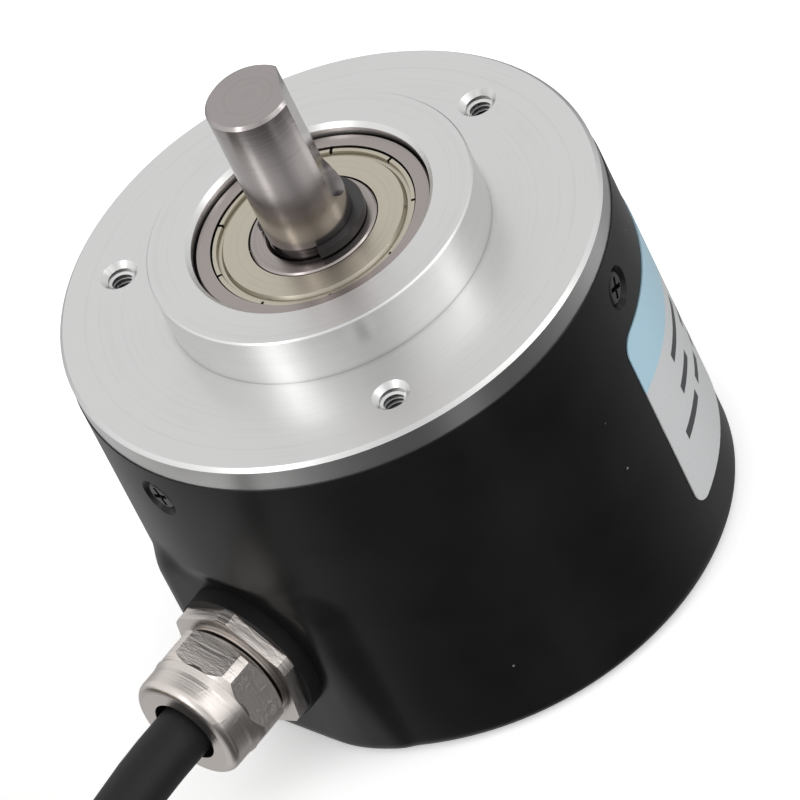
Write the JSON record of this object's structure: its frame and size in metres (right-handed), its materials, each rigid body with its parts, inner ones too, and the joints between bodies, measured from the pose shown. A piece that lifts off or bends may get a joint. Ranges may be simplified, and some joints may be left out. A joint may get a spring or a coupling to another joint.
{
  "type": "rotary encoder",
  "caption": "Round flanged incremental rotary encoder: D-cut shaft on ball bearings, black cup housing, side cable gland and a coiled lead with bare wire ends.",
  "frame": {"origin": "centre of the housing's flat rear face, on the shaft's axis", "axes": "+Z along the shaft, out of the front flange; the cable gland points to -149.5 degrees in the XY plane, measured from +X towards +Y"},
  "size_m": [0.1588, 0.0808, 0.0568],
  "materials": {
    "turned_aluminium": "turned, satin",
    "bearing_steel": "ground",
    "ball_steel": "polished",
    "zinc_shield": "zinc plated, satin",
    "cage_steel": "pressed",
    "shaft_steel": "ground",
    "spring_steel": "black oxide",
    "hub_aluminium": "turned",
    "disc_glass": "clear with a dark track",
    "screw_black": "black zinc",
    "screw_steel": "zinc plated",
    "board_green": "solder mask",
    "chip_black": "moulded",
    "sensor_plastic": "moulded",
    "lens_clear": "clear",
    "tin_plate": "tinned",
    "connector_white": "moulded",
    "standoff_brass": "turned",
    "housing_black": "satin powder coat",
    "rubber_black": "moulded",
    "label_film": "satin film, blue band over silver",
    "nickel_brass": "nickel plated",
    "cable_jacket": "matte jacket",
    "tie_black": "moulded",
    "insulation_red": "satin",
    "insulation_black": "satin",
    "insulation_green": "satin",
    "insulation_white": "satin",
    "insulation_yellow": "satin"
  },
  "bodies": {
    "base": {"front_flange": "turned_aluminium", "front_bearing_outer_ring": "bearing_steel", "front_bearing_front_shield": "zinc_shield", "front_bearing_back_shield": "zinc_shield", "rear_bearing_outer_ring": "bearing_steel", "rear_bearing_shields": "zinc_shield", "preload_wave_washer": "spring_steel", "circuit_board": "board_green", "light_block": "sensor_plastic", "light_emitter": "lens_clear", "emitter_leads": "tin_plate", "detector_chip": "chip_black", "reticle": "disc_glass", "board_chips": "chip_black", "board_small_parts": "tin_plate", "wire_connector": "connector_white", "board_standoffs": "standoff_brass", "board_screws": "screw_steel", "housing_cup": "housing_black", "cover_seal_ring": "rubber_black", "cover_screws": "screw_black", "rating_label": "label_film", "gland_gasket": "rubber_black", "gland_body": "nickel_brass", "gland_lock_nut": "nickel_brass", "gland_dome_nut": "nickel_brass", "gland_seal": "rubber_black", "inner_leads": "insulation_white", "cable": "cable_jacket", "cable_coil": "cable_jacket", "cable_tie": "tie_black", "lead_tips": "tin_plate", "lead_red": "insulation_red", "lead_black": "insulation_black", "lead_green": "insulation_green", "lead_white": "insulation_white", "lead_yellow": "insulation_yellow"},
    "rotor": {"shaft": "shaft_steel", "shaft_snap_ring": "spring_steel", "front_bearing_inner_ring": "bearing_steel", "rear_bearing_inner_ring": "bearing_steel", "inner_ring_spacer": "shaft_steel", "disc_hub": "hub_aluminium", "code_disc": "disc_glass", "disc_clamp_washer": "hub_aluminium", "disc_screw": "screw_steel"},
    "front_ball_set": {"front_bearing_balls": "ball_steel", "front_bearing_cage": "cage_steel"},
    "rear_ball_set": {"rear_bearing_balls": "ball_steel", "rear_bearing_cage": "cage_steel"}
  },
  "joints": [
    {"name": "shaft_spin", "type": "hinge", "parent": "base", "child": "rotor", "pos_m": [0, 0, 0.03], "axis": [0, 0, 1], "continuous": true},
    {"name": "front_balls_roll", "type": "hinge", "parent": "base", "child": "front_ball_set", "pos_m": [0, 0, 0.03725], "axis": [0, 0, 1], "continuous": true},
    {"name": "rear_balls_roll", "type": "hinge", "parent": "base", "child": "rear_ball_set", "pos_m": [0, 0, 0.0285], "axis": [0, 0, 1], "continuous": true}
  ],
  "couplings": [
    {"joint": "front_balls_roll", "follows": "shaft_spin", "ratio": 0.3677},
    {"joint": "rear_balls_roll", "follows": "shaft_spin", "ratio": 0.4008}
  ]
}
